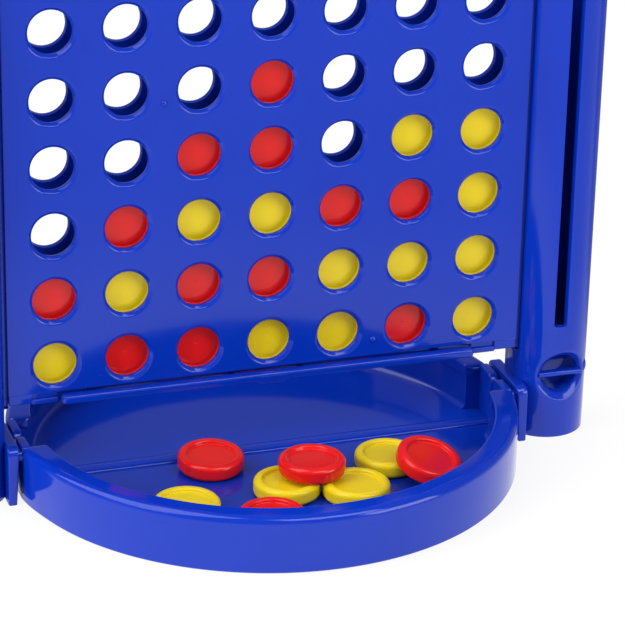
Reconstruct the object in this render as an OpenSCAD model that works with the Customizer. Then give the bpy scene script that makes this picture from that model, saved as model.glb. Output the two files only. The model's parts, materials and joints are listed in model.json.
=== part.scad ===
// Travel-size four in a row frame: a double-walled grid between two disc towers,
// with a release bar under the columns and two half-round trays that fold up.
// Millimetres. +X right, +Y to the rear, +Z up, origin on the table under the grid's middle.

/* [Discs] */
// Outside diameter of a disc
disc_d = 18.4; // [15:0.05:21]
// Thickness of a disc over its raised rim
disc_t = 4.7; // [4:0.1:6]
// Width of the raised rim of a disc
disc_rim_w = 2.75; // [2.4:0.05:4]
// Depth of the recess inside the rim, on each face
disc_recess = 0.85; // [0.3:0.05:1.2]
// Rounding of the rim's edges
disc_round = 1.1; // [0.5:0.05:1.15]

/* [Grid] */
// Thickness of each grid wall
panel_t = 2.3; // [1.8:0.1:3.5]
// Thickness of a divider between two columns
divider_t = 1; // [0.8:0.1:2.5]
// Gap between a disc's edge and a divider
disc_side_gap = 0.3; // [0.2:0.025:1]
// Gap between a disc's face and a grid wall
disc_face_gap = 0.35; // [0.2:0.05:1]
// Gap between two discs of one column
disc_stack_gap = 0.1; // [0.02:0.02:0.5]
// Overlap of a grid wall over the edge of a disc, around a viewing hole
disc_hold = 3.2; // [2.6:0.025:5]
// Rounding of the edge of a viewing hole
hole_lip = 1; // [0.5:0.1:1.4]
// Grid wall beyond the middle of the outermost divider
side_margin = 3; // [2:0.1:6]
// Grid wall above the top row of discs
wall_above = 1.475; // [0.5:0.025:7]
// Grid wall below the lowest discs
wall_below = 1.3; // [0.5:0.025:2.5]
// Wall between the lowest viewing holes and the release bar's notch
notch_land = 0.7; // [0.3:0.1:1]
// Height of the lowest discs' edges above the table
disc_rest_z = 27.8; // [26:0.025:40]
// Radius of the staking pegs that hold the walls to the dividers
peg_r = 1; // [0.6:0.1:1.5]
// Depth of the dimple over each peg
peg_dimple = 0.7; // [0.3:0.1:1.2]
// Clearance round a peg, a tongue or a seam between fixed pieces
seat_gap = 0.1; // [0.05:0.05:0.3]
// Reach of a wall's edge tongue into its tower
tongue_reach = 1.2; // [0.6:0.1:1.5]
// Thickness of a wall's edge tongue
tongue_t = 1.2; // [0.6:0.1:1.6]

/* [Release bar] */
// Reach of the finger bar in front of the grid
bar_proud = 3.6; // [3.2:0.1:6]
// Thickness of the finger bar, front to back
bar_t = 2.5; // [1.6:0.1:2.6]
// Height of the finger bar
bar_h = 2.3; // [1.6:0.1:2.6]
// Width of the thumb tab under the middle of the bar
tab_w = 10; // [6:0.5:20]
// Depth of the thumb tab below the bar
tab_drop = 1; // [0.5:0.1:2]
// Depth of the strip that carries the discs, front to back
strip_t = 1.4; // [1:0.1:1.8]
// Height of the strip that carries the discs
strip_h = 1.1; // [0.8:0.1:1.6]
// Clearance round the sliding bar
bar_gap = 0.3; // [0.2:0.05:0.6]
// Reach of the strip's ends into the towers
strip_reach = 1; // [0.5:0.1:1.4]
// Length of the slot beyond each end of the bar
end_slot_l = 7; // [4:0.5:9]
// Height of the slot beyond each end of the bar
end_slot_h = 1.6; // [1:0.1:1.8]

/* [Towers] */
// Discs that one tower holds
tower_discs = 21; // [12:1:24]
// Room above the stored discs
tower_spare = 10; // [4:1:20]
// Gap round a stored disc
tower_gap = 0.3; // [0.2:0.05:1]
// Thickness of the tower's wall
tower_wall = 1.95; // [1.8:0.05:3]
// Height of the tower's floor above the table
tower_floor_z = 32; // [30:0.5:40]
// Width of the finger slot
slot_w = 3.7; // [2.5:0.1:6]
// Distance of the finger slot's middle from the tower's middle
slot_shift = 0.6; // [0:0.1:1.5]
// Wall left below the finger slot, above the tower's floor
slot_sill = 2.8; // [1:0.1:6]
// Wall left above the finger slot
slot_head = 8; // [4:0.5:20]
// Rounding of the finger slot's corners
slot_round = 0.7; // [0.3:0.1:1.5]
// Width of the flat on a tower's inner side below the grid
tower_flat_w = 10.8; // [10.4:0.1:12]
// Wall under the pockets for the ends of the disc strip
pocket_sill = 1.2; // [0.8:0.1:3]
// Height of the cord recess's middle above the table
recess_z = 19.4; // [18:0.1:21]
// Radius of the cord recess
recess_r = 5.8; // [4:0.1:6.4]
// Widening of the cord recess at its mouth
recess_flare = 1.2; // [0.5:0.1:1.6]
// Height of the bar across the cord recess
cross_bar_h = 1.5; // [1:0.1:2.5]
// Depth of the bar across the cord recess
cross_bar_t = 2.2; // [1.2:0.1:3]
// Depth of the hollow under the tower
base_hollow = 8; // [4:0.5:9]

/* [Trays] */
// Height of a tray's rim above the table
rim_z = 16.2; // [14:0.1:18]
// Width of a tray's rim
rim_w = 6.6; // [4.4:0.1:7.5]
// Height of a tray's rolled rim
rim_h = 3.4; // [3:0.1:5]
// Overhang of the rolled rim on the outside
rim_lip = 0.4; // [0.2:0.1:0.8]
// Thickness of a tray's floor
floor_t = 2.2; // [1.4:0.1:3]
// Gap between a tray and the table
floor_lift = 0.2; // [0.1:0.05:0.5]
// Rounding between a tray's floor and wall
tray_fillet = 2; // [2:0.1:6]
// Rounding under a tray's outer edge
foot_round = 1.2; // [0.5:0.1:1.8]
// Height of the ridge along a tray's straight edge
ridge_h = 0.9; // [0.5:0.1:1.2]
// Width of the ridge along a tray's straight edge
ridge_w = 1.8; // [1:0.1:2.4]
// Gap between the two trays
tray_gap = 0.6; // [0.4:0.1:2]
// Distance of a rim's ends from the tray's straight edge
rim_end = 8.7; // [6:0.1:12]
// Thickness of the cheek beyond each end of a rim
cheek_t = 2.6; // [2:0.1:4]
// Overlap of a cheek past the end of the rim
cheek_lap = 1.5; // [1:0.1:3]
// Rounding of a cheek's corner beside the other tray
cheek_round = 3; // [2.8:0.1:5]
// Gap between a folded tray and the grid
fold_gap = 0.5; // [0.3:0.1:1.5]
// Height of the tray pivots above the table
pivot_z = 13.4; // [11.5:0.1:14]
// Radius of a pivot pin
pin_r = 1.5; // [1:0.1:1.8]
// Clearance round a pivot pin
pin_gap = 0.06; // [0.02:0.01:0.1]
// Material round a pivot pin in its boss
lug_wall = 1.2; // [0.8:0.1:1.4]

/* [Ears] */
// Thickness of an ear
ear_t = 2.6; // [2.5:0.1:5]
// Height of an ear
ear_h = 16.7; // [16:0.1:20]
// Reach of an ear beyond a pivot
ear_reach = 3.2; // [2.6:0.1:5]
// Rounding of an ear's upper corners
ear_round = 2.6; // [1:0.1:3]
// Overlap of an ear past the tower's inner face
ear_inset = 0.7; // [0.5:0.1:2]
// Gap between the boss of a pivot and an ear
lug_gap = 0.4; // [0.3:0.05:1]
// Reach of a pivot's boss beyond the tray's rim
lug_step = 1; // [1:0.1:3]

/* [Hidden] */
$fn = 64;
hair = 0.01;
rows = 6;
// Discs in each column from the left, lowest first: R red, Y yellow
stacks = ["YR", "RYR", "RRYR", "YRYRR", "YYR", "RYRY", "YYYY"];
columns = len(stacks);

// Grid, worked out from the discs
column_pitch = disc_d + 2 * disc_side_gap + divider_t;
row_pitch = disc_d + disc_stack_gap;
hole_r = disc_d / 2 - disc_hold;
first_row_z = disc_rest_z + disc_d / 2;
channel_t = disc_t + 2 * disc_face_gap;
grid_t = channel_t + 2 * panel_t;
grid_half_w = columns * column_pitch / 2 + side_margin;
panel_bottom_z = disc_rest_z - wall_below;
panel_top_z = first_row_z + (rows - 1) * row_pitch + disc_d / 2 + wall_above;
divider_xs = [for (i = [0:columns]) (i - columns / 2) * column_pitch];
// Pegs stand on the third divider from each side, below a row's middle
peg_drop = 3;
peg_x = abs(divider_xs[2]);
peg_high_z = first_row_z + (rows - 2) * row_pitch - peg_drop;
peg_low_z = first_row_z - peg_drop;
front_pegs = [[-peg_x, peg_high_z], [peg_x, peg_low_z]];

// Release bar, worked out from the lowest discs
strip_top_z = disc_rest_z - bar_gap / 2;
strip_bottom_z = strip_top_z - strip_h;
bar_travel = disc_t / 2 + strip_t / 2 + bar_gap;
notch_top_z = first_row_z - hole_r - hole_lip - notch_land;
bar_top_z = notch_top_z - bar_gap;
bar_bottom_z = bar_top_z - bar_h;
bar_front_y = -grid_t / 2 - bar_proud;
divider_bottom_z = strip_top_z + bar_gap;
rear_bottom_z = strip_top_z + bar_gap;
web_w = divider_t + disc_side_gap;
web_xs = [divider_xs[1], divider_xs[3], divider_xs[columns - 3], divider_xs[columns - 1]];

// Towers
bore_r = disc_d / 2 + tower_gap;
tower_r = bore_r + tower_wall;
tower_face_x = grid_half_w + seat_gap;
tower_x = tower_face_x + tower_r;
tower_h = tower_floor_z + tower_discs * disc_t + tower_spare;
recess_depth = tower_r + recess_r;
tower_flat_x = tower_x - sqrt(tower_r * tower_r - tower_flat_w * tower_flat_w / 4);
slab_bottom_z = strip_bottom_z - bar_gap - pocket_sill;

// Trays and their pivots
pivot_y = -grid_t / 2 - fold_gap - (rim_z - pivot_z);
lug_r = pin_r + lug_wall;
ear_face_x = tower_face_x - ear_inset;
ear_half_y = -pivot_y + ear_reach;
lug_face_x = ear_face_x - lug_gap;
rim_out_r = lug_face_x - lug_step;
rim_in_r = rim_out_r - rim_w;
wall_out_r = rim_out_r - rim_lip;
wall_in_r = rim_in_r + rim_lip;
floor_z = floor_lift + floor_t;
edge_y = -tray_gap / 2;
rim_end_y = edge_y - rim_end;
cheek_out_x = rim_out_r + rim_lip / 2;
cheek_in_x = cheek_out_x - cheek_t;
cheek_z = rim_z - rim_lip / 2;
// The bar is short enough to lie inside a folded tray's rim
fold_y = pivot_y - (bar_top_z + bar_gap - pivot_z);
bar_half_l = sqrt(rim_in_r * rim_in_r - fold_y * fold_y) - 2 * bar_gap;

// Loose discs in the front tray: one leans over the ridge, and one on the edge of another disc
ridge_disc_y = -0.4938;
lean_over_ridge = atan((ridge_h + seat_gap / 4) / (disc_d * (0.5 - ridge_disc_y) - ridge_w - tray_gap / 2));
lean_on_disc = asin((disc_t + seat_gap) / (0.83 * disc_d));
// Colour, x and y in disc diameters, layer, lean and the way the lean faces
tray_discs = [
    ["R", -0.9677, ridge_disc_y, 0, lean_over_ridge, 0],
    ["Y", -0.1236, -1.5835, 0, 0, 0],
    ["Y", 0.831, -1.9434, 0, 0, 0],
    ["R", 0.2865, -1.4971, 1, 0, 0],
    ["Y", 1.6165, -1.1128, 0, 0, 0],
    ["R", 2.065, -1.663, 0, lean_on_disc, 39],
    ["Y", -1.7395, -1.8525, 0, 0, 0],
    ["R", -0.6555, -2.5341, 0, 0, 0]
];

function disc_name(c, r) = str("disc_c", c, "_r", r);
function tray_disc_name(i) = str("tray_disc_", i);
function paint(letter) = letter == "R" ? "firebrick" : "gold";

// Shared shapes

// Rectangle with four rounded corners, from its low corner
module rounded_rect(w, h, r) {
    translate([r, 0]) square([w - 2 * r, h]);
    translate([0, r]) square([w, h - 2 * r]);
    for (x = [r, w - r], y = [r, h - r]) translate([x, y]) circle(r);
}

// Disc lying flat, its middle at the origin
module disc_solid() {
    rotate_extrude() {
        translate([0, disc_recess - disc_t / 2])
            square([disc_d / 2 - disc_rim_w / 2, disc_t - 2 * disc_recess]);
        translate([disc_d / 2 - disc_rim_w, -disc_t / 2]) rounded_rect(disc_rim_w, disc_t, disc_round);
    }
}

// Tool for one viewing hole along -Y, with the rounded edge at y = 0
module hole_tool() {
    rotate([90, 0, 0]) rotate_extrude() {
        translate([0, -panel_t - 1]) square([hole_r, panel_t + 2]);
        difference() {
            translate([0, -hole_lip]) square([hole_r + hole_lip, hole_lip + 1]);
            translate([hole_r + hole_lip, -hole_lip]) circle(hole_lip);
        }
    }
}

// Grid wall with its outer face at y = 0 and its body behind it
module panel_solid(bottom_z) {
    difference() {
        union() {
            translate([-grid_half_w, 0, bottom_z])
                cube([2 * grid_half_w, panel_t, panel_top_z - bottom_z]);
            translate([-grid_half_w - tongue_reach, (panel_t - tongue_t) / 2, notch_top_z])
                cube([2 * (grid_half_w + tongue_reach), tongue_t,
                    panel_top_z - notch_top_z - tongue_reach]);
        }
        for (c = [0:columns - 1], r = [0:rows - 1])
            translate([(c - (columns - 1) / 2) * column_pitch, 0, first_row_z + r * row_pitch]) hole_tool();
        for (p = front_pegs)
            translate([p[0], -1, p[1]]) rotate([-90, 0, 0]) cylinder(r = peg_r + seat_gap, h = panel_t + 2);
    }
}

// Tower standing at the right end of the grid, its slot and recess to the front.
// It is round with a flat on its inner side, and above that flat it takes the grid's edges.
module tower_solid() {
    slot_bottom_z = tower_floor_z + slot_sill;
    slot_h = tower_h - slot_head - slot_bottom_z;
    bar_y = -sqrt(tower_r * tower_r - recess_r * recess_r);
    difference() {
        union() {
            difference() {
                translate([tower_x, 0, 0]) cylinder(r = tower_r, h = tower_h);
                translate([tower_face_x - 1, -tower_r, -1])
                    cube([tower_flat_x - tower_face_x + 1, 2 * tower_r, slab_bottom_z + 1]);
            }
            translate([tower_face_x, -grid_t / 2, slab_bottom_z])
                cube([tower_r, grid_t, tower_h - slab_bottom_z]);
            ear_solid();
        }
        translate([tower_x, 0, tower_floor_z]) cylinder(r = bore_r, h = tower_h);
        translate([tower_x, 0, -1]) cylinder(r = bore_r, h = base_hollow + 1);
        translate([tower_x - slot_shift - slot_w / 2, 0, slot_bottom_z]) rotate([90, 0, 0])
            linear_extrude(tower_r + 1) rounded_rect(slot_w, slot_h, slot_round);
        difference() {
            translate([tower_x, -tower_r - 1, recess_z]) rotate([-90, 0, 0]) union() {
                cylinder(r = recess_r, h = recess_depth);
                cylinder(r1 = recess_r + recess_flare * 1.5, r2 = recess_r, h = 1 + tower_r + bar_y);
            }
            translate([tower_x - tower_r, bar_y, recess_z - cross_bar_h / 2])
                cube([2 * tower_r, cross_bar_t, cross_bar_h]);
        }
        strip_guide();
        for (side = [-1, 1]) translate([0, side * (channel_t + panel_t) / 2, 0]) tongue_groove();
    }
}

// Groove for a grid wall's edge tongue
module tongue_groove() {
    low_z = notch_top_z - seat_gap;
    translate([tower_face_x - 1, -tongue_t / 2 - seat_gap, low_z])
        cube([1 + tongue_reach + seat_gap, tongue_t + 2 * seat_gap,
            panel_top_z - notch_top_z - tongue_reach + 2 * seat_gap]);
}

// Pocket in which an end of the disc strip slides, long enough for either tower
module strip_guide() {
    half_y = strip_t / 2 + bar_travel + bar_gap;
    translate([tower_face_x - 1, -half_y, strip_bottom_z - bar_gap])
        cube([1 + strip_reach + bar_gap, 2 * half_y, strip_h + 2 * bar_gap]);
}

// Ear at the foot of the tower, with a hole for a pivot pin of each tray
module ear_solid() {
    difference() {
        translate([ear_face_x, 0, 0]) rotate([90, 0, 90]) linear_extrude(ear_t) {
            translate([-ear_half_y, 0]) square([2 * ear_half_y, ear_h - ear_round]);
            translate([ear_round - ear_half_y, 0]) square([2 * (ear_half_y - ear_round), ear_h]);
            for (side = [-1, 1]) translate([side * (ear_half_y - ear_round), ear_h - ear_round])
                circle(ear_round);
        }
        for (side = [-1, 1]) translate([ear_face_x - 1, side * pivot_y, pivot_z])
            rotate([0, 90, 0]) cylinder(r = pin_r + pin_gap, h = ear_t + 2);
    }
}

// Section of a tray, from its middle to its rim
module tray_profile() {
    translate([0, floor_lift]) square([wall_out_r - foot_round, floor_t]);
    translate([wall_in_r, floor_lift + foot_round])
        square([wall_out_r - wall_in_r, rim_z - rim_h / 2 - floor_lift - foot_round]);
    translate([wall_in_r, floor_lift]) square([wall_out_r - wall_in_r - foot_round, 2 * foot_round]);
    translate([wall_out_r - foot_round, floor_lift + foot_round]) circle(foot_round);
    difference() {
        translate([wall_in_r - tray_fillet, floor_z]) square([tray_fillet + hair, tray_fillet]);
        translate([wall_in_r - tray_fillet, floor_z + tray_fillet]) circle(tray_fillet);
    }
    translate([rim_in_r, rim_z - rim_h]) rounded_rect(rim_w, rim_h, rim_h * 0.4);
}

// Outline of a cheek, seen from the side
module cheek_outline() {
    front_y = rim_end_y - cheek_lap;
    translate([front_y, floor_lift]) square([edge_y - front_y, cheek_z - cheek_round - floor_lift]);
    translate([front_y, floor_lift]) square([edge_y - front_y - cheek_round, cheek_z - floor_lift]);
    translate([edge_y - cheek_round, cheek_z - cheek_round]) circle(cheek_round);
}

// Front tray with its ridge, cheeks and pivot pins
module tray_solid() {
    difference() {
        rotate_extrude() tray_profile();
        translate([-2 * rim_out_r, edge_y, -1]) cube([4 * rim_out_r, 2 * rim_out_r, rim_z + 2]);
        translate([-2 * rim_out_r, rim_end_y, floor_z]) cube([4 * rim_out_r, 2 * rim_out_r, rim_z]);
    }
    translate([-cheek_in_x - hair, edge_y - ridge_w, floor_z - hair])
        cube([2 * (cheek_in_x + hair), ridge_w, ridge_h + hair]);
    for (side = [-1, 1]) mirror([side < 0 ? 1 : 0, 0, 0]) {
        translate([cheek_in_x, 0, 0]) rotate([90, 0, 90]) linear_extrude(cheek_t) cheek_outline();
        translate([cheek_in_x, pivot_y, pivot_z]) rotate([0, 90, 0])
            cylinder(r = lug_r, h = lug_face_x - cheek_in_x);
        translate([lug_face_x - 1, pivot_y, pivot_z]) rotate([0, 90, 0])
            cylinder(r = pin_r, h = 1 + lug_gap + ear_t);
    }
}

// Pieces

module front_panel() {
    slot_in_x = bar_half_l + bar_gap;
    color("royalblue") difference() {
        translate([0, -grid_t / 2, 0]) panel_solid(panel_bottom_z);
        translate([-slot_in_x, -grid_t, 0]) cube([2 * slot_in_x, grid_t, notch_top_z]);
        for (side = [-1, 1])
            translate([side * (slot_in_x + end_slot_l / 2), -grid_t / 2, notch_top_z - end_slot_h / 2])
                cube([end_slot_l + 2 * hair, grid_t, end_slot_h], center = true);
    }
}

module rear_panel() {
    color("royalblue") rotate([0, 0, 180]) translate([0, -grid_t / 2, 0]) panel_solid(rear_bottom_z);
}

module column_dividers() {
    peg_l = panel_t - peg_dimple;
    color("mediumblue") {
        for (x = divider_xs) translate([x - divider_t / 2, -channel_t / 2, divider_bottom_z])
            cube([divider_t, channel_t, panel_top_z - divider_bottom_z]);
        for (turn = [0, 180], p = front_pegs) rotate([0, 0, turn])
            translate([p[0], -channel_t / 2 - peg_l, p[1]]) rotate([-90, 0, 0])
                cylinder(r = peg_r, h = peg_l + hair);
    }
}

module right_tower() {
    color("royalblue") tower_solid();
}

module left_tower() {
    color("royalblue") rotate([0, 0, 180]) tower_solid();
}

module release_bar() {
    web_y = bar_front_y + bar_t / 2;
    color("royalblue") {
        translate([-bar_half_l, bar_front_y, bar_bottom_z]) cube([2 * bar_half_l, bar_t, bar_h]);
        translate([-tab_w / 2, bar_front_y, bar_bottom_z - tab_drop])
            cube([tab_w, bar_t / 2, tab_drop + hair]);
        translate([-grid_half_w - strip_reach, -strip_t / 2, strip_bottom_z])
            cube([2 * (grid_half_w + strip_reach), strip_t, strip_h]);
        for (x = web_xs) translate([x - web_w / 2, web_y, strip_bottom_z])
            cube([web_w, strip_t / 2 - web_y, strip_h]);
    }
}

module front_tray() {
    color("royalblue") tray_solid();
}

module rear_tray() {
    color("royalblue") rotate([0, 0, 180]) tray_solid();
}

module grid_disc(c, r) {
    color(paint(stacks[c - 1][r - 1]))
        translate([(c - 1 - (columns - 1) / 2) * column_pitch, 0, first_row_z + (r - 1) * row_pitch])
            rotate([90, 0, 0]) disc_solid();
}

module tray_disc(i) {
    d = tray_discs[i - 1];
    lean = d[4];
    rest_z = floor_z + hair + d[3] * (disc_t + hair);
    lift = disc_d / 2 * sin(lean) + disc_t / 2 * cos(lean);
    color(paint(d[0])) translate([d[1] * disc_d, d[2] * disc_d, rest_z + lift])
        rotate([0, 0, d[5]]) rotate([lean, 0, 0]) disc_solid();
}

front_panel();
rear_panel();
column_dividers();
left_tower();
right_tower();
release_bar();
front_tray();
rear_tray();
for (c = [1:columns], r = [1:len(stacks[c - 1])])
    grid_disc(c, r);
for (i = [1:len(tray_discs)])
    tray_disc(i);
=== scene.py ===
import json
import math

import bmesh
import bpy
import numpy as np
from mathutils import Matrix, Vector


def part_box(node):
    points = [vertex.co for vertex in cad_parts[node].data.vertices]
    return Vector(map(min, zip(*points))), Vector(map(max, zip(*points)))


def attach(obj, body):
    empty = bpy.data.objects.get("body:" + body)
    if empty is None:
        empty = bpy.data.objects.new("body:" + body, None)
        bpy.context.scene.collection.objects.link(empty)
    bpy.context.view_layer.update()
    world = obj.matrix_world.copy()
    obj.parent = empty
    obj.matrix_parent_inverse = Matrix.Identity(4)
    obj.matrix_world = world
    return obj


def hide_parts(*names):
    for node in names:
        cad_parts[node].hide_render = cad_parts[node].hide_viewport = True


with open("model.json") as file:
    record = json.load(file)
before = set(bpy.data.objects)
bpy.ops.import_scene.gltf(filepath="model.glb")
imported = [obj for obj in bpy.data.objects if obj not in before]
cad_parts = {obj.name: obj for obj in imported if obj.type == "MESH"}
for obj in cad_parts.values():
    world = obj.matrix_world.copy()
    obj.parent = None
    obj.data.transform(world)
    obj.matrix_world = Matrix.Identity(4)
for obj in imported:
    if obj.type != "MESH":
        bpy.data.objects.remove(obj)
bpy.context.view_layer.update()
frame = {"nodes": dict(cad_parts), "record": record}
print("frame loaded:", len(frame["nodes"]), "nodes")


# Shader maths

class Wire:
    # a socket's value: + - * with numbers or other wires add Math nodes, node() adds any other node
    def __init__(self, tree, socket=None):
        self.tree = tree
        self.socket = socket

    def node(self, kind, settings=None, inputs=None, out=0):
        made = self.tree.nodes.new(kind)
        for name, value in (settings or {}).items():
            setattr(made, name, value)
        for name, value in (inputs or {}).items():
            if isinstance(value, Wire):
                self.tree.links.new(value.socket, made.inputs[name])
            else:
                made.inputs[name].default_value = value
        return Wire(self.tree, made.outputs[out] if len(made.outputs) else None)

    def fade(self, low, high, first, last):
        # goes smoothly from first to last while this value goes from low to high
        return self.node("ShaderNodeMapRange", {"interpolation_type": "SMOOTHSTEP"},
                         {0: self, 1: low, 2: high, 3: first, 4: last})

    def math(self, operation, first, second):
        return self.node("ShaderNodeMath", {"operation": operation}, {0: first, 1: second})

    def __add__(self, other):
        return self.math("ADD", self, other)

    def __sub__(self, other):
        return self.math("SUBTRACT", self, other)

    def __rsub__(self, other):
        return self.math("SUBTRACT", other, self)

    def __mul__(self, other):
        return self.math("MULTIPLY", self, other)

    __radd__ = __add__
    __rmul__ = __mul__


# Moulded plastics

plasticLooks = {
    "bluePlastic": {"colour": (0.0015, 0.028, 0.38, 1), "deep": (0.001, 0.022, 0.33, 1),
                    "gloss": 0.10, "ior": 1.42},
    "redPlastic": {"colour": (0.70, 0.011, 0.010, 1), "deep": (0.62, 0.008, 0.008, 1),
                   "gloss": 0.16, "ior": 1.4},
    "yellowPlastic": {"colour": (0.76, 0.58, 0.010, 1), "deep": (0.70, 0.52, 0.008, 1),
                      "gloss": 0.16, "ior": 1.4},
}
# each noise is (scale, detail)
skinLook = {"flow": (45.0, 3.0), "streaks": (300.0, 1400.0, 260.0), "streakNoise": (1.0, 4.0),
            "rubFade": (0.62, 0.78, 0.0, 1.0), "wave": (110.0, 1.0), "grain": (4200.0, 2.0),
            "grainShare": 0.02, "drift": 0.05, "rubbed": 0.05, "bump": 0.06, "bumpDepth": 0.0006}


def mouldedPlastic(name, look, skin):
    # colour drifts along the flow of the melt, gloss is broken by faint rubs, the skin is slightly wavy
    material = bpy.data.materials.new(name)
    material.use_nodes = True
    tree = material.node_tree
    tree.nodes.clear()
    start = Wire(tree)
    place = start.node("ShaderNodeTexCoord", out="Object")

    def noise(spot, scale, detail):
        return start.node("ShaderNodeTexNoise", {}, {"Vector": spot, "Scale": scale, "Detail": detail})

    flow = noise(place, *skin["flow"])
    streaks = start.node("ShaderNodeMapping", {}, {"Vector": place, "Scale": skin["streaks"]})
    rub = noise(streaks, *skin["streakNoise"]).fade(*skin["rubFade"])
    height = noise(place, *skin["wave"]) + noise(place, *skin["grain"]) * skin["grainShare"]
    # sockets 6 and 7 take the Mix node's two colours, and socket 2 gives the mixed one
    colour = start.node("ShaderNodeMix", {"data_type": "RGBA"},
                        {0: flow, 6: look["deep"], 7: look["colour"]}, 2)
    rough = look["gloss"] + (flow - 0.5) * skin["drift"] + rub * skin["rubbed"]
    bump = start.node("ShaderNodeBump", {}, {
        "Strength": skin["bump"], "Distance": skin["bumpDepth"], "Height": height})
    shader = start.node("ShaderNodeBsdfPrincipled", {}, {
        "Base Color": colour, "Roughness": rough, "Normal": bump, "IOR": look["ior"]})
    start.node("ShaderNodeOutputMaterial", {}, {"Surface": shader})
    return material


plastic = {name: mouldedPlastic(name, look, skinLook) for name, look in plasticLooks.items()}
print("plastics mixed:", len(plastic))


# Surfaces, in millimetres

meshing = {"millimetre": 0.001, "weld": 1e-6, "sliver": 1e-7, "sharp": 38}


def layPiece(name, surfaces, finish, body, nodes):
    # a surface is its points and arrays of faces: all go into one mesh, welded, turned outwards and smoothed
    points, faces, base = [], [], 0
    for places, *groups in surfaces:
        points.append(places.reshape(-1, 3))
        for group in groups:
            faces += (group + base).tolist()
        base += len(points[-1])
    mesh = bpy.data.meshes.new(name)
    mesh.from_pydata((np.concatenate(points) * meshing["millimetre"]).tolist(), [], faces)
    work = bmesh.new()
    work.from_mesh(mesh)
    bmesh.ops.remove_doubles(work, verts=work.verts, dist=meshing["weld"])
    bmesh.ops.dissolve_degenerate(work, edges=work.edges, dist=meshing["sliver"])
    bmesh.ops.recalc_face_normals(work, faces=work.faces)
    work.to_mesh(mesh)
    work.free()
    mesh.shade_smooth()
    mesh.set_sharp_from_angle(angle=math.radians(meshing["sharp"]))
    mesh.materials.append(plastic[finish])
    piece = bpy.data.objects.new(name, mesh)
    bpy.context.scene.collection.objects.link(piece)
    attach(piece, body)
    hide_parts(*nodes)


def gridQuads(rows, columns, wrap=False):
    # quads of a rows x columns grid of points, each row joined end to end where it wraps
    row, column = np.meshgrid(np.arange(rows - 1), np.arange(columns - (not wrap)), indexing="ij")
    here, above = row * columns, (row + 1) * columns
    beside = (column + 1) % columns
    corners = [here + column, here + beside, above + beside, above + column]
    return np.stack(corners, -1).reshape(-1, 4)


def lid(row, columns):
    # one polygon whose corners are a row of such a grid
    return np.arange(columns)[None] + row * columns


def tube(rings):
    # closed sections one after another, joined side by side and shut at both ends
    rows, columns = rings.shape[:2]
    return rings, gridQuads(rows, columns, True), lid(0, columns), lid(rows - 1, columns)


def arc(middle, radius, first, last, count):
    # points on a circle or ellipse round middle, from one angle in degrees to another
    angle = np.radians(np.linspace(first, last, count))
    return np.stack([np.cos(angle), np.sin(angle)], -1) * radius + np.asarray(middle)


def rectangle(left, right, low, high):
    # corners counter-clockwise from the lower left
    return [(left, low), (right, low), (right, high), (left, high)]


def sidePoints(low, high, count):
    # the four sides of a rectangle, counter-clockwise from the lower left corner, count steps along each
    corners = np.array(rectangle(low[0], high[0], low[1], high[1]), float)
    share = np.linspace(0, 1, count, endpoint=False)[:, None]
    return np.concatenate([corner + (after - corner) * share
                           for corner, after in zip(corners, np.roll(corners, -1, 0))])


def roundedOutline(corners, radii, count=7, guard=0.0):
    # a polygon whose corners are arcs, each tangent to both of its sides, with guard points just beside them
    corners = np.asarray(corners, float)
    radii = np.broadcast_to(radii, len(corners))
    parts = []
    for corner, before, after, radius in zip(corners, np.roll(corners, 1, 0), np.roll(corners, -1, 0), radii):
        back = (before - corner) / np.linalg.norm(before - corner)
        ahead = (after - corner) / np.linalg.norm(after - corner)
        half = math.acos(float(np.clip(back @ ahead, -1, 1))) / 2
        reach = radius / math.tan(half)
        middle = corner + (back + ahead) / np.linalg.norm(back + ahead) * radius / math.sin(half)
        share = np.linspace(0, 1, count)[:, None]
        chord = (corner + back * reach) * (1 - share) + (corner + ahead * reach) * share - middle
        bend = middle + chord / np.linalg.norm(chord, axis=1)[:, None] * radius
        if guard:
            bend = np.concatenate([[bend[0] + back * guard], bend, [bend[-1] + ahead * guard]])
        parts.append(bend)
    return np.concatenate(parts)


def plate(outline, low, high, edge, axis):
    # an outline pushed along an axis from low to high, its edges drawn in along quarter circles
    ahead = np.roll(outline, -1, 0) - np.roll(outline, 1, 0)
    inward = np.stack([-ahead[:, 1], ahead[:, 0]], -1) / np.linalg.norm(ahead, axis=1)[:, None]
    turn = np.radians(np.linspace(0, 90, 6))
    inset = edge * np.concatenate([1 - np.sin(turn), 1 - np.sin(turn[::-1])])
    along = np.concatenate([low + edge * (1 - np.cos(turn)), high - edge * (1 - np.cos(turn[::-1]))])
    flat = outline + inset[:, None, None] * inward
    depth = np.broadcast_to(along[:, None], flat.shape[:2])
    order = {"x": (depth, flat[..., 0], flat[..., 1]), "y": (flat[..., 0], depth, flat[..., 1]),
             "z": (flat[..., 0], flat[..., 1], depth)}[axis]
    return tube(np.stack(order, -1))


def spun(profile, middle, around=48):
    # a profile of (along, radius) points turned about a line along X through middle
    angle = np.linspace(0, 2 * np.pi, around, endpoint=False)
    along, radius = profile[:, :1], profile[:, 1:]
    return tube(np.stack([along + 0 * angle, middle[0] + radius * np.cos(angle),
                          middle[1] + radius * np.sin(angle)], -1))


def turned(surfaces, turn):
    # as they are for 1, and half round about the upright axis for -1
    return [(points * (turn, turn, 1), *groups) for points, *groups in surfaces]


def bothSides(surfaces):
    # each surface and its mirror image on the other side of x = 0
    return [(points * (side, 1, 1), *groups) for points, *groups in surfaces for side in (1, -1)]


# Discs

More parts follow.
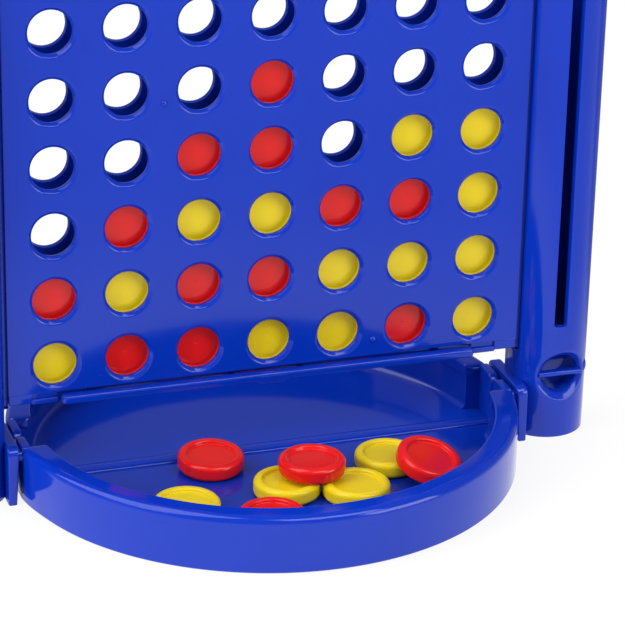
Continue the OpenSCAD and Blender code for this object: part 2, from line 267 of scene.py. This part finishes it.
discShape = {"radius": 9.2, "height": 4.7, "rim": 2.6, "inner": 0.75, "outer": 1.5, "rimStep": 0.05,
             "recess": 1.05, "hollow": 0.3, "flat": (0.5, 0.45), "pip": ((0, 0.04), (0.21, 0.035), (0.35, 0)),
             "gate": 0.16, "gateSize": (0.45, 0.5), "gateTurn": 2.4, "sideBand": 0.01, "around": 96,
             "leaning": {"tray_disc_1": (3.3, 0), "tray_disc_6": (18.3, 39)},
             "loose": {"forward": 0.6, "lean": 0.9, "leanStep": 2.1, "turn": 0.8, "turnStep": 4.7},
             "stacks": ("YR", "RYR", "RRYR", "YRYRR", "YYR", "RYRY", "YYYY"), "inTray": "RYYRYRYR"}


def discOutline(shape):
    # half section from the middle of the top face: a low pip, a flat recess, a small hollow and a rim
    # that is round on both sides, then all of it mirrored
    half, foot = shape["height"] / 2, shape["radius"] - shape["rim"]
    floor = half - shape["recess"]
    hollow, inner, outer = shape["hollow"], shape["inner"], shape["outer"]
    begin, margin = shape["flat"]
    pip = np.array(shape["pip"]) + (0, floor)
    flat = np.stack([np.linspace(begin, foot - margin, 6), np.full(6, floor)], -1)
    groove = arc((foot - hollow, floor + hollow), hollow, -90, -15, 6)
    inside = arc((foot + shape["rimStep"] + inner, half - inner), inner, 170, 90, 9)
    edge = arc((shape["radius"] - outer, half - outer), outer, 90, 0, 14)
    top = np.concatenate([pip, flat, groove, inside, edge])
    return np.concatenate([top, top[::-1] * (1, -1)])


def discSurface(shape, turn):
    # the half section turned about its axis, with a gate mark at the side that swells as a bell curve
    outline = discOutline(shape)
    angle = np.linspace(0, 2 * np.pi, shape["around"], endpoint=False)
    radius, height = outline[:, :1], outline[:, 1:]
    wide, tall = shape["gateSize"]
    bell = np.exp(-((angle - np.pi) * shape["radius"] / wide) ** 2) * np.exp(-(height / tall) ** 2)
    atSide = radius > shape["radius"] - shape["sideBand"]
    radius = radius + bell * atSide * shape["gate"]
    points = np.stack([radius * np.cos(angle + turn), radius * np.sin(angle + turn), height + 0 * angle], -1)
    return points, gridQuads(len(outline), shape["around"], True)


def discPlace(shape, node, number):
    # a grid disc stands with its axis along Y, loose by about a degree as a sine of its number;
    # a tray disc lies flat or leans as its solid does
    loose = shape["loose"]
    if node.startswith("disc_c"):
        lean = 90 + loose["forward"] + loose["lean"] * math.sin(number * loose["leanStep"])
        way = loose["turn"] * math.sin(number * loose["turnStep"])
    else:
        lean, way = shape["leaning"].get(node, (0, 0))
    return Matrix.Rotation(math.radians(way), 3, "Z") @ Matrix.Rotation(math.radians(lean), 3, "X")


def discColour(shape, node):
    # grid discs are listed by column and by row from below, tray discs by number
    if node.startswith("disc_c"):
        column, row = (int(part[1:]) for part in node.split("_")[1:])
        letter = shape["stacks"][column - 1][row - 1]
    else:
        letter = shape["inTray"][int(node.split("_")[-1]) - 1]
    return "redPlastic" if letter == "R" else "yellowPlastic"


bodyOf = {node: body for body, nodes in frame["record"]["behaviour"]["bodies"].items() for node in nodes}
discNodes = sorted(node for node in frame["nodes"] if node.startswith(("disc_c", "tray_disc")))
for number, node in enumerate(discNodes):
    low, high = (np.array(corner) / meshing["millimetre"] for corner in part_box(node))
    points, quads = discSurface(discShape, number * discShape["gateTurn"])
    points = points @ np.array(discPlace(discShape, node, number)).T + (low + high) / 2
    finish = discColour(discShape, node)
    layPiece(node.replace("disc", "counter"), [(points, quads)], finish, bodyOf[node], [node])
print("discs turned:", len(discNodes))

for holder in frame["nodes"]["column_dividers"].material_slots:
    holder.material = plastic["bluePlastic"]


# Trays

trayShape = {"rimIn": 64.4, "rimOut": 71.0, "rimTop": 16.2, "rimMiddle": 14.2, "rimLow": 12.5,
             "rimEndY": -10.2, "rimRolls": (0.4, 0.1, 2.2, 0.7), "rimGuard": 0.12, "rimNose": 1.9,
             "noseTurn": (12, 84), "wallIn": 64.9, "wallOut": 70.96, "wallTop": 13.5, "wallEndY": -9.0,
             "flush": (-24.0, -10.0, 0.5), "floor": 2.4, "floorSteps": (0.3, 20.0, 45.0, 69.3), "sole": 0.5,
             "lift": 0.2, "fillet": 1.9, "foot": 0.6, "edgeY": -0.3, "ridgeTop": 3.45, "ridgeFootY": -2.7,
             "ridgeBackY": -0.05, "ridgeLip": (0.2, 0.15), "ridgeUnder": 2.0, "ridgeHalf": 68.5,
             "cheek": (68.3, 70.9), "cheekFrontY": -9.6, "cheekLow": 0.3, "cheekTop": 16.0,
             "cheekRolls": (0.4, 0.4, 3.0, 0.8), "cheekEdge": 0.6, "pivot": (-8.3, 13.4),
             "boss": (69.0, 71.9, 1.7), "pin": (70.0, 74.9, 1.5), "stubEdge": 0.3, "stubCore": 0.01,
             "around": 145}


def halfTurn(shape, section, endY, count):
    # every (radius, height) point of a section goes round in front, from the plane y = endY back to it;
    # near the ends its outer points swell outwards by a smooth step until they are flush with the cheeks
    radius, height = section[:, 0], section[:, 1]
    last = np.arcsin(np.clip(endY / radius, -1, 1))
    share = np.linspace(0, 1, count)[:, None]
    angle = (-np.pi - last) * (1 - share) + last * share
    x, y = radius * np.cos(angle), radius * np.sin(angle)
    begin, full, swell = shape["flush"]
    step = np.clip((y - begin) / (full - begin), 0, 1)
    outer = np.clip((radius - shape["wallIn"]) / (shape["wallOut"] - shape["wallIn"]), 0, 1)
    swell = swell * outer * step * step * (3 - 2 * step)
    return np.stack([x + np.sign(x) * swell, y, height + 0 * angle], -1)


def rimSurface(shape):
    # a box-like section with a broad roll outside goes half round; at both ends it closes to a nose,
    # where it shrinks as cos t and moves on as sin t
    inside, outside = shape["rimIn"], shape["rimOut"]
    section = roundedOutline(rectangle(inside, outside, shape["rimLow"], shape["rimTop"]),
                             shape["rimRolls"], 12, shape["rimGuard"])
    heart = np.array([(inside + outside) / 2, shape["rimMiddle"]])
    rows = [halfTurn(shape, section, shape["rimEndY"], shape["around"])]
    for nose in np.radians(np.linspace(*shape["noseTurn"], 7)):
        ends = halfTurn(shape, heart + (section - heart) * math.cos(nose),
                        shape["rimEndY"] + shape["rimNose"] * math.sin(nose), 2)
        rows = [ends[:1]] + rows + [ends[1:]]
    return tube(np.concatenate(rows))


def floorSurface(shape):
    # a flat half-round plate
    steps = shape["floorSteps"]
    upper = [(step, shape["floor"]) for step in steps]
    lower = [(step, shape["sole"]) for step in (steps[-1], steps[0])]
    return tube(halfTurn(shape, np.array(upper + lower), shape["edgeY"], shape["around"]))


def wallSurface(shape):
    # a half-round wall with a fillet to the floor inside and a small roll at its foot outside
    fillet, foot = shape["fillet"], shape["foot"]
    inner, outer = shape["wallIn"] - fillet, shape["wallOut"] - foot
    line = np.concatenate([
        arc((inner, shape["floor"] + fillet), fillet, -90, 0, 12),
        [[shape["wallIn"], shape["wallTop"]], [shape["wallOut"], shape["wallTop"]]],
        arc((outer, shape["lift"] + foot), foot, 0, -90, 8), [[inner, shape["lift"]]]])
    return tube(halfTurn(shape, line, shape["wallEndY"], shape["around"]))


def ridgeSurface(shape):
    # a straight ridge along the floor's edge: a quarter ellipse in front and a small one behind
    rise = shape["ridgeTop"] - shape["floor"]
    roll = arc((shape["edgeY"], shape["floor"]), (shape["edgeY"] - shape["ridgeFootY"], rise), 180, 90, 18)
    deep, tall = shape["ridgeLip"]
    lip = arc((shape["ridgeBackY"] - deep, shape["ridgeTop"] - tall), (deep, tall), 80, 0, 5)
    under = [[shape["ridgeBackY"], shape["ridgeUnder"]], [shape["ridgeFootY"], shape["ridgeUnder"]]]
    line = np.concatenate([roll, lip, under])
    return tube(np.stack([np.insert(line, 0, side * shape["ridgeHalf"], axis=1) for side in (-1, 1)]))


def pivotSurfaces(shape):
    # a cheek with a boss and a pin on the pivot line, both chamfered at the tip
    side = rectangle(shape["cheekFrontY"], shape["edgeY"], shape["cheekLow"], shape["cheekTop"])
    side = roundedOutline(side, shape["cheekRolls"])
    surfaces = [plate(side, *shape["cheek"], shape["cheekEdge"], "x")]
    edge, core = shape["stubEdge"], shape["stubCore"]
    for root, tip, radius in (shape["boss"], shape["pin"]):
        profile = [(root, core), (root, radius), (tip - edge, radius), (tip, radius - edge), (tip, core)]
        surfaces.append(spun(np.array(profile), shape["pivot"]))
    return surfaces


def traySurfaces(shape):
    # floor, wall and rim go half round, a ridge runs along the straight edge, and each side has its pivot
    bowl = [floorSurface(shape), wallSurface(shape), rimSurface(shape), ridgeSurface(shape)]
    return bowl + bothSides(pivotSurfaces(shape))


for name, node, turn in (("frontTrayShell", "front_tray", 1), ("rearTrayShell", "rear_tray", -1)):
    layPiece(name, turned(traySurfaces(trayShape), turn), "bluePlastic", bodyOf[node], [node])
print("trays moulded")


# Grid walls

wallShape = {"half": 73.0, "front": -5.0, "back": -2.7, "top": 140.15, "frontLow": 29.3, "rearLow": 27.95,
             "pitch": (20.0, 18.5), "firstZ": 37.0, "columns": 7, "rows": 6, "hole": 5.9, "lip": 7.15,
             "lipGuard": 0.06, "slope": 44.0, "rolls": (0.85, 0.6), "coneSteps": (0.1, 0.9), "far": 6.15,
             "side": 20,
             "foot": {"plates": ((66.5, 73.0, 26.5, 29.4, -5.0), (59.5, 66.7, 26.1, 27.6, -5.0),
                                 (59.6, 66.7, 27.5, 29.4, -4.3)), "roll": 0.3, "edge": 0.25},
             "peg": {"places": ((-30, 108.0), (30, 34.0)), "radius": 0.95, "dome": 0.75, "sink": 0.05}}


def lipLine(shape):
    # (radius, depth) from the face into a hole: a broad roll, a cone, a tighter roll, and a wall
    # that opens backwards
    slope, (outer, inner) = math.radians(shape["slope"]), shape["rolls"]
    first = arc((shape["lip"], outer), outer, 270, 270 - shape["slope"], 6)
    reach = first[-1, 0] - shape["hole"] - inner * (1 - math.sin(slope))
    depth = first[-1, 1] + reach * math.tan(slope) + inner * math.cos(slope)
    second = arc((shape["hole"] + inner, depth), inner, 270 - shape["slope"], 180, 7)
    cone = first[-1] + (second[0] - first[-1]) * np.array(shape["coneSteps"])[:, None]
    return np.concatenate([[[shape["lip"] + shape["lipGuard"], 0]], first, cone, second,
                           [[shape["far"], shape["back"] - shape["front"]]]])


def wallCell(shape, middle, low, high, borders):
    # a box-shaped cell round one hole: its rectangle shrinks to the lip's circles, goes through
    # and opens out again; borders are the sides where the wall ends
    edge = sidePoints(low, high, shape["side"])
    ray = (edge - middle) / np.linalg.norm(edge - middle, axis=1)[:, None]
    line = lipLine(shape)
    rings = np.concatenate([edge[None], middle + line[:, :1, None] * ray, edge[None]])
    depth = np.concatenate([[0], line[:, 1], [shape["back"] - shape["front"]]]) + shape["front"]
    points = np.stack([rings[..., 0], np.broadcast_to(depth[:, None], rings.shape[:2]), rings[..., 1]], -1)
    surfaces = [(points, gridQuads(len(depth), len(edge), True))]
    for border in borders:
        run = (np.arange(shape["side"] + 1) + border * shape["side"]) % len(edge)
        surfaces.append((points[[0, -1]][:, run], gridQuads(2, len(run))))
    return surfaces


def wallSurfaces(shape, lowest):
    # cells side by side, the outer ones reaching to the wall's own edges
    surfaces = []
    wide, tall = shape["pitch"]
    lastColumn, lastRow = shape["columns"] - 1, shape["rows"] - 1
    for column in range(shape["columns"]):
        x = (column - lastColumn / 2) * wide
        left = -shape["half"] if column == 0 else x - wide / 2
        right = shape["half"] if column == lastColumn else x + wide / 2
        for row in range(shape["rows"]):
            z = shape["firstZ"] + row * tall
            low = lowest if row == 0 else z - tall / 2
            high = shape["top"] if row == lastRow else z + tall / 2
            ends = (row == 0, column == lastColumn, row == lastRow, column == 0)
            borders = [side for side, isEnd in enumerate(ends) if isEnd]
            surfaces += wallCell(shape, np.array([x, z]), (left, low), (right, high), borders)
    return surfaces


def footSurfaces(shape):
    # under the wall's ends: a block, a bar and the sunk panel between them, all with rounded edges
    foot, plates = shape["foot"], []
    for left, right, low, high, front in foot["plates"]:
        outline = roundedOutline(rectangle(left, right, low, high), foot["roll"], 4)
        plates.append(plate(outline, front, shape["back"], foot["edge"], "y"))
    return bothSides(plates)


def pegSurfaces(shape):
    # low domes on the ends of the pegs: radius falls as cos t while the height grows as sin t
    peg = shape["peg"]
    turn = np.radians(np.linspace(0, 89, 8))[:, None]
    angle = np.linspace(0, 2 * np.pi, 32, endpoint=False)
    radius, height = peg["radius"] * np.cos(turn), peg["dome"] * np.sin(turn)
    dome = np.stack([radius * np.cos(angle), shape["front"] + peg["sink"] - height + 0 * angle,
                     radius * np.sin(angle)], -1)
    return [tube(dome + np.array([x, 0, z])) for x, z in peg["places"]]


frontWall = wallSurfaces(wallShape, wallShape["frontLow"]) + footSurfaces(wallShape) + pegSurfaces(wallShape)
rearWall = turned(wallSurfaces(wallShape, wallShape["rearLow"]) + pegSurfaces(wallShape), -1)
layPiece("frontGridWall", frontWall, "bluePlastic", bodyOf["front_panel"], ["front_panel"])
layPiece("rearGridWall", rearWall, "bluePlastic", bodyOf["rear_panel"], ["rear_panel"])
print("grid walls moulded")


# Release bar

barShape = {"half": 59.15, "front": -8.6, "back": -6.1, "low": 26.7, "high": 29.0,
            "rolls": (0.4, 0.3, 0.15, 0.75), "straight": (-57, 57, 229), "tab": 10.0, "tabDrop": 1.0,
            "tabSide": 2.2, "nose": 1.3, "noseBend": 0.6, "strip": (0.7, 26.25, 27.65, 74.0),
            "stripEdge": 0.15, "webs": (-50, -10, 10, 50), "web": 1.3, "webEdge": 0.1,
            "webSpan": (-6.6, -0.5), "roll": 0.2}


def barSurface(shape):
    # a long bar with a broad roll on its upper front edge, swelling down to a tab by a cosine at each side;
    # at both ends its section shrinks as a power of cos t while it moves on as sin t
    depth, tall = shape["back"] - shape["front"], shape["high"] - shape["low"]
    section = roundedOutline(rectangle(0, depth, 0, tall), shape["rolls"], 8)
    middle = np.array([depth / 2, tall / 2])
    ends = np.radians(np.linspace(80, 0, 8))
    tip = shape["half"] - shape["nose"] * (1 - np.sin(ends))
    straight = np.linspace(*shape["straight"])
    x = np.concatenate([-tip, straight, tip[::-1]])
    squeeze = np.concatenate([np.cos(ends), np.ones(len(straight)), np.cos(ends)[::-1]]) ** shape["noseBend"]
    drop = np.clip((shape["tab"] / 2 - np.abs(x)) / shape["tabSide"], 0, 1)
    drop = shape["tabDrop"] * (0.5 - 0.5 * np.cos(np.pi * drop))
    rings = middle + (section - middle) * squeeze[:, None, None]
    lower = 1 - rings[..., 1] / tall
    return tube(np.stack([x[:, None] + 0 * lower, shape["front"] + rings[..., 0],
                          shape["low"] + rings[..., 1] - drop[:, None] * lower], -1))


def stripSurfaces(shape):
    # the strip behind the bar that carries the discs, and the webs between the two
    half, low, high, reach = shape["strip"]
    strip = roundedOutline(rectangle(-half, half, low, high), shape["roll"], 4)
    surfaces = [plate(strip, -reach, reach, shape["stripEdge"], "x")]
    edge = shape["web"] / 2
    for place in shape["webs"]:
        web = roundedOutline(rectangle(place - edge, place + edge, low, high), shape["roll"], 4)
        surfaces.append(plate(web, *shape["webSpan"], shape["webEdge"], "y"))
    return surfaces


layPiece("releaseBarBody", [barSurface(barShape)] + stripSurfaces(barShape), "bluePlastic",
         bodyOf["release_bar"], ["release_bar"])
print("release bar moulded")


# Towers

towerShape = {"axisX": 84.55, "radius": 11.45, "bore": 9.5, "top": 140.7, "boreFloor": 32.0, "patch": 60.0,
              "flatX": 74.45, "seam": 31.0, "recessLow": 9.0, "recess": (0.8, 18.9, 5.6), "recessEndY": -3.0,
              "flare": 1.9, "flareSteps": ((0.9, 0.05), (0.8, 0.13), (0.5, 0.45), (0.25, 0.72), (0.12, 0.88),
                                           (0.03, 1.05), (0, 1.25)),
              "slot": (-2.55, 1.15, 34.0, 132.6), "slotRound": 0.7, "slotLip": 0.35, "foot": 0.4,
              "side": 24, "skinRows": 9, "footRows": 5, "backColumns": 60, "boreColumns": (73, 7),
              "rod": {"y": (-9.7, -7.5), "tall": 1.5, "rolls": (0.6, 0.3, 0.3, 0.6), "past": (0.9, 1.0),
                      "edge": 0.2, "knob": (1.25, 2.4), "knobAngle": 54, "knobRise": 0.6, "knobDepth": 0.75},
              "slab": {"x": (72.95, 75.0), "halfY": 3.6, "roll": 0.2, "edge": 0.2, "sill": (25.05, 26.15),
                       "upper": (27.8, 140.6), "coverY": -1.2, "cover": (25.35, 28.2), "coverEdge": 0.05},
              "ear": {"x": (71.7, 75.0), "y": (-11.5, 11.5), "low": 0.02, "top": 16.7,
                      "rolls": (0.3, 0.3, 2.6, 2.6), "edge": 0.5, "taper": 0.3}}


def onTower(shape, arcs, heights, depth=0):
    # a place on the post's skin: distance round from the front becomes an angle, depth goes in to the axis
    angle = arcs / shape["radius"]
    radius = shape["radius"] - depth
    x, y = shape["axisX"] + radius * np.sin(angle), -radius * np.cos(angle)
    return np.stack([x, y, heights + 0 * angle], -1)


def skinRows(shape, edge, inner):
    # rows of skin that go in equal steps from one outline to another
    share = np.linspace(0, 1, shape["skinRows"])[:, None, None]
    skin = edge * (1 - share) + inner * share
    return list(onTower(shape, skin[..., 0], skin[..., 1]))


def recessSurface(shape, reach):
    # skin between a rectangle and the recess, a slanted lip with rolled edges, the wall and the recess's end
    across, middleZ, hole = shape["recess"]
    middle = np.array([across, middleZ])
    edge = sidePoints((-reach, shape["recessLow"]), (reach, shape["seam"]), shape["side"])
    ray = (edge - middle) / np.linalg.norm(edge - middle, axis=1)[:, None]

    def ring(radius):
        # a circle seen from the front, laid on the round skin
        x, z = (middle + ray * radius).T
        return np.stack([shape["radius"] * np.arcsin(x / shape["radius"]), z], -1)

    rows = skinRows(shape, edge, ring(hole + shape["flare"]))
    for out, down in shape["flareSteps"]:
        spot = ring(hole + shape["flare"] * out)
        rows.append(onTower(shape, spot[:, 0], spot[:, 1]) + np.array([0, shape["flare"] * down, 0]))
    last = rows[-1].copy()
    last[:, 1] = shape["recessEndY"]
    rows.append(last)
    return np.stack(rows), gridQuads(len(rows), len(edge), True), lid(len(rows) - 1, len(edge))


def slotSurface(shape, reach):
    # skin between a rectangle and the finger slot, whose corners are arcs, then a lip rolled as a quarter
    # circle and the wall to the bore
    left, right, low, high = shape["slot"]
    edge = sidePoints((-reach, shape["seam"]), (reach, shape["top"]), shape["side"])
    inner = sidePoints((left, low), (right, high), shape["side"])
    near = np.clip(shape["slotRound"] - np.minimum(inner[:, 0] - left, right - inner[:, 0]), 0, None)
    lift = shape["slotRound"] - np.sqrt(shape["slotRound"] ** 2 - near ** 2)
    inner[:, 1] = np.clip(inner[:, 1], low + lift, high - lift)
    ahead = np.roll(inner, -1, 0) - np.roll(inner, 1, 0)
    outward = np.stack([ahead[:, 1], -ahead[:, 0]], -1) / np.linalg.norm(ahead, axis=1)[:, None]
    lip = shape["slotLip"]
    rows = skinRows(shape, edge, inner + outward * lip)
    for turn in np.radians(np.linspace(15, 90, 6)):
        spot = inner + outward * lip * (1 - math.sin(turn))
        rows.append(onTower(shape, spot[:, 0], spot[:, 1], lip * (1 - math.cos(turn))))
    rows.append(onTower(shape, inner[:, 0], inner[:, 1], shape["radius"] - shape["bore"]))
    return np.stack(rows), gridQuads(len(rows), len(edge), True)


def skinSurfaces(shape, reach):
    # the rest of the skin with a flat on its inner side, its foot rolled in by a quarter circle, the top ring
    halfFlat = math.degrees(math.acos((shape["axisX"] - shape["flatX"]) / shape["radius"]))
    behind = np.linspace(shape["patch"], 270 - halfFlat, shape["backColumns"])
    beside = np.linspace(270 + halfFlat, 360 - shape["patch"], 3)
    rest = np.radians(np.concatenate([behind, beside])) * shape["radius"]
    front = np.linspace(-reach, reach, shape["side"] + 1)
    sheet = np.stack([onTower(shape, rest, z) for z in (shape["foot"], shape["top"])])
    strip = np.stack([onTower(shape, front, z) for z in (shape["foot"], shape["recessLow"])])
    loop = onTower(shape, np.concatenate([front, rest[1:-1]]), 0.0)
    middle = np.array([shape["axisX"], 0, 0])
    rows, count = shape["footRows"], len(loop)
    turn = np.radians(np.linspace(0, 90, rows))[:, None, None]
    foot = middle + (loop - middle) * (1 - shape["foot"] / shape["radius"] * (1 - np.cos(turn)))
    foot[..., 2] = (shape["foot"] * (1 - np.sin(turn)))[..., 0]
    way = (loop - middle) / np.linalg.norm(loop - middle, axis=1)[:, None]
    top = np.stack([loop, middle + way * shape["bore"]]) + np.array([0, 0, shape["top"]])
    return [(sheet, gridQuads(2, len(rest))), (strip, gridQuads(2, len(front))),
            (top, gridQuads(2, count, True)), (foot, gridQuads(rows, count, True), lid(rows - 1, count))]


def boreSurfaces(shape):
    # three bands of the bore's wall: whole below and above the slot, open beside it, and a floor below
    left, right, slotLow, slotHigh = shape["slot"]
    pastCount, slotCount = shape["boreColumns"]
    past = np.linspace(right, 2 * np.pi * shape["radius"] + left, pastCount)
    whole = np.concatenate([past, np.linspace(left, right, slotCount)[1:-1]])
    surfaces = []
    for arcs, low, high in ((whole, shape["boreFloor"], slotLow), (past, slotLow, slotHigh),
                            (whole, slotHigh, shape["top"])):
        band = np.stack([onTower(shape, arcs, z, shape["radius"] - shape["bore"]) for z in (low, high)])
        surfaces.append((band, gridQuads(2, len(arcs), len(arcs) == len(whole))))
    surfaces[0] += (lid(0, len(whole)),)
    return surfaces


def rodSurfaces(shape):
    # the rod across the recess, and a knob at its outer end: an ellipsoid with its long axis upright
    rod = shape["rod"]
    across, middleZ, hole = shape["recess"]
    centre, half = shape["axisX"] + across, rod["tall"] / 2
    outline = roundedOutline(rectangle(*rod["y"], middleZ - half, middleZ + half), rod["rolls"], 6)
    inward, outward = rod["past"]
    wide, tall = rod["knob"]
    angle = np.linspace(0, 2 * np.pi, 32, endpoint=False)
    rise = np.radians(np.linspace(-89, 89, 17))[:, None]
    seat = onTower(shape, np.array(shape["radius"] * math.radians(rod["knobAngle"])),
                   middleZ + rod["knobRise"], rod["knobDepth"])
    knob = np.stack([wide * np.cos(rise) * np.cos(angle), wide * np.cos(rise) * np.sin(angle),
                     tall * np.sin(rise) + 0 * angle], -1) + seat
    return [plate(outline, centre - hole - inward, centre + hole + outward, rod["edge"], "x"), tube(knob)]


def slabSurfaces(shape, turn):
    # the sill and the slab at the grid, and a cover on the side that faces the front once the post is turned
    slab = shape["slab"]
    halfY = slab["halfY"]
    near, far = sorted((-halfY * turn, slab["coverY"] * turn))
    outline = roundedOutline(rectangle(*slab["x"], -halfY, halfY), slab["roll"], 4)
    cover = roundedOutline(rectangle(*slab["x"], near, far), slab["roll"], 4)
    return [plate(outline, *slab["sill"], slab["edge"], "z"),
            plate(outline, *slab["upper"], slab["edge"], "z"),
            plate(cover, *slab["cover"], slab["coverEdge"], "z")]


def earSurface(shape):
    # a plate with round upper corners that gets evenly thinner towards its foot, on the inner side
    ear = shape["ear"]
    side = roundedOutline(rectangle(*ear["y"], ear["low"], ear["top"]), ear["rolls"], 10)
    points, *groups = plate(side, *ear["x"], ear["edge"], "x")
    outside = ear["x"][1]
    thin = 1 - ear["taper"] * (1 - points[..., 2] / ear["top"])
    points[..., 0] = outside - (outside - points[..., 0]) * thin
    return points, *groups


patchReach = towerShape["radius"] * math.radians(towerShape["patch"])
for name, node, turn in (("rightTowerPost", "right_tower", 1), ("leftTowerPost", "left_tower", -1)):
    post = [recessSurface(towerShape, patchReach), slotSurface(towerShape, patchReach)]
    post += skinSurfaces(towerShape, patchReach) + boreSurfaces(towerShape)
    post += rodSurfaces(towerShape) + [earSurface(towerShape)] + slabSurfaces(towerShape, turn)
    layPiece(name, turned(post, turn), "bluePlastic", bodyOf[node], [node])
print("towers moulded")


# Studio: a fade is (low, high, first, last)

studio = {"white": (1, 1, 1, 1), "ambient": 0.26, "skyFade": (0.05, 0.25, 0.5, 0.24), "floorSize": 6.0,
          # the floor's three fades paint, in its reflections only, a pool of light near the object, shade
          # behind it and shade far off
          "floorColour": (0.85, 0.85, 0.86, 1), "paintedPoolFade": (0.10, 0.24, 1.15, 0.58),
          "paintedShadeBehindFade": (0.0, 0.06, 1.0, 0.15), "paintedShadeFarFade": (0.4, 1.0, 1.0, 0.6), "shadowShare": 0.13,
          "bounce": 0.65, "litFloor": 1.4}
lamps = {
    "softboxAbove": {"place": (0.24, -0.73, 0.98), "size": (0.8, 0.45), "power": 5.0, "shows": True},
    "softboxBehind": {"place": (0.0, 0.60, 1.25), "size": (1.4, 0.9), "power": 6.0, "shows": False},
    "softboxLeft": {"place": (-0.70, 0.05, 0.95), "size": (1.2, 1.2), "power": 13.0, "shows": True},
    "softboxLow": {"place": (-1.25, -0.45, 0.45), "size": (0.8, 1.0), "power": 14.0, "shows": False},
    "softboxRight": {"place": (0.90, -0.93, 0.48), "size": (0.8, 0.65), "power": 8.2, "shows": True},
}
lampTarget = (0, 0, 0.06)
camera = {"place": (-0.22226, -0.68884, 0.34662), "azimuth": 18.924, "elevation": 22.707, "roll": 1.257,
          "lens": 164.718, "sensor": 36.0, "near": 0.01}


def bySight(start, lighting, shown):
    # one shader for the light that falls on things, another for what the camera and reflections see
    cameraRay = start.node("ShaderNodeLightPath", out="Is Camera Ray")
    glossyRay = start.node("ShaderNodeLightPath", out="Is Glossy Ray")
    return start.node("ShaderNodeMixShader", {}, {0: cameraRay + glossyRay, 1: lighting, 2: shown})


def paintSky(world, look):
    # white for the camera, a grey that falls with height in reflections, and a dim even light
    world.use_nodes = True
    world.node_tree.nodes.clear()
    sky = Wire(world.node_tree)
    dim = sky.node("ShaderNodeBackground", {}, {"Color": look["white"], "Strength": look["ambient"]})
    white = sky.node("ShaderNodeBackground", {}, {"Color": look["white"], "Strength": 1.0})
    way = sky.node("ShaderNodeTexCoord", out="Generated")
    height = sky.node("ShaderNodeSeparateXYZ", {}, {"Vector": way}, "Z")
    mirrored = sky.node("ShaderNodeBackground", {}, {"Color": height.fade(*look["skyFade"]), "Strength": 1.0})
    cameraRay = sky.node("ShaderNodeLightPath", out="Is Camera Ray")
    seen = sky.node("ShaderNodeMixShader", {}, {0: cameraRay, 1: mirrored, 2: white})
    sky.node("ShaderNodeOutputWorld", {}, {"Surface": bySight(sky, dim, seen)})


def paleFloor(look):
    # white for the camera with a share of real shading for the shadow; in reflections it shows a painted pool
    # of light near the object, painted shade behind it and painted shade far off; it lights the object as a
    # lit white table does
    material = bpy.data.materials.new("paleFloor")
    material.use_nodes = True
    material.node_tree.nodes.clear()
    ground = Wire(material.node_tree)
    matt = ground.node("ShaderNodeBsdfDiffuse", {}, {"Color": look["floorColour"]})
    spot = ground.node("ShaderNodeTexCoord", out="Object")
    away = ground.node("ShaderNodeVectorMath", {"operation": "LENGTH"}, {0: spot}, "Value")
    depth = ground.node("ShaderNodeSeparateXYZ", {}, {"Vector": spot}, "Y")
    # painted pool of light near the object, times painted shade behind it and far off; only reflections see
    # it
    paintedPool = away.fade(*look["paintedPoolFade"]) * depth.fade(*look["paintedShadeBehindFade"]) * away.fade(*look["paintedShadeFarFade"])
    cameraRay = ground.node("ShaderNodeLightPath", out="Is Camera Ray")
    shine = cameraRay + (1.0 - cameraRay) * paintedPool
    glow = ground.node("ShaderNodeEmission", {}, {"Color": shine, "Strength": 1.0})
    seen = ground.node("ShaderNodeMixShader", {}, {0: look["shadowShare"], 1: glow, 2: matt})
    lit = ground.node("ShaderNodeEmission", {}, {"Color": look["white"], "Strength": look["litFloor"]})
    lighting = ground.node("ShaderNodeMixShader", {}, {0: look["bounce"], 1: matt, 2: lit})
    ground.node("ShaderNodeOutputMaterial", {}, {"Surface": bySight(ground, lighting, seen)})
    return material


def hangLamp(name, lamp):
    # an area lamp at its place, facing a point in the lower half of the grid
    light = bpy.data.lights.new(name, "AREA")
    light.shape = "RECTANGLE"
    light.size, light.size_y = lamp["size"]
    light.energy = lamp["power"]
    holder = bpy.data.objects.new(name, light)
    holder.visible_glossy = lamp["shows"]
    turn = (Vector(lamp["place"]) - Vector(lampTarget)).to_track_quat("Z", "Y").to_matrix().to_4x4()
    holder.matrix_world = Matrix.Translation(lamp["place"]) @ turn
    bpy.context.scene.collection.objects.link(holder)


def aimCamera(view):
    # looks along the azimuth and down by the elevation, then rolls about the line of sight
    azimuth, elevation, roll = (math.radians(view[key]) for key in ("azimuth", "elevation", "roll"))
    forward = np.array([math.sin(azimuth) * math.cos(elevation), math.cos(azimuth) * math.cos(elevation),
                        -math.sin(elevation)])
    right = np.array([math.cos(azimuth), -math.sin(azimuth), 0.0])
    up = np.cross(right, forward)
    across = math.cos(roll) * right + math.sin(roll) * up
    upwards = math.cos(roll) * up - math.sin(roll) * right
    lens = bpy.data.cameras.new("camera")
    lens.lens = view["lens"]
    lens.sensor_width = view["sensor"]
    lens.clip_start = view["near"]
    holder = bpy.data.objects.new("camera", lens)
    columns = np.stack([across, upwards, -forward, np.array(view["place"])], -1)
    holder.matrix_world = Matrix(columns.tolist() + [[0, 0, 0, 1]])
    bpy.context.scene.collection.objects.link(holder)
    bpy.context.scene.camera = holder


bpy.context.scene.world = bpy.data.worlds.new("studio")
paintSky(bpy.context.scene.world, studio)
half = studio["floorSize"] / 2
floorMesh = bpy.data.meshes.new("floor")
floorMesh.from_pydata([(x, y, 0) for x, y in rectangle(-half, half, -half, half)], [], [(0, 1, 2, 3)])
floorMesh.materials.append(paleFloor(studio))
floor = bpy.data.objects.new("floor", floorMesh)
bpy.context.scene.collection.objects.link(floor)
for name, lamp in lamps.items():
    hangLamp(name, lamp)
aimCamera(camera)
bpy.context.scene.view_settings.view_transform = "Standard"
print("studio ready")
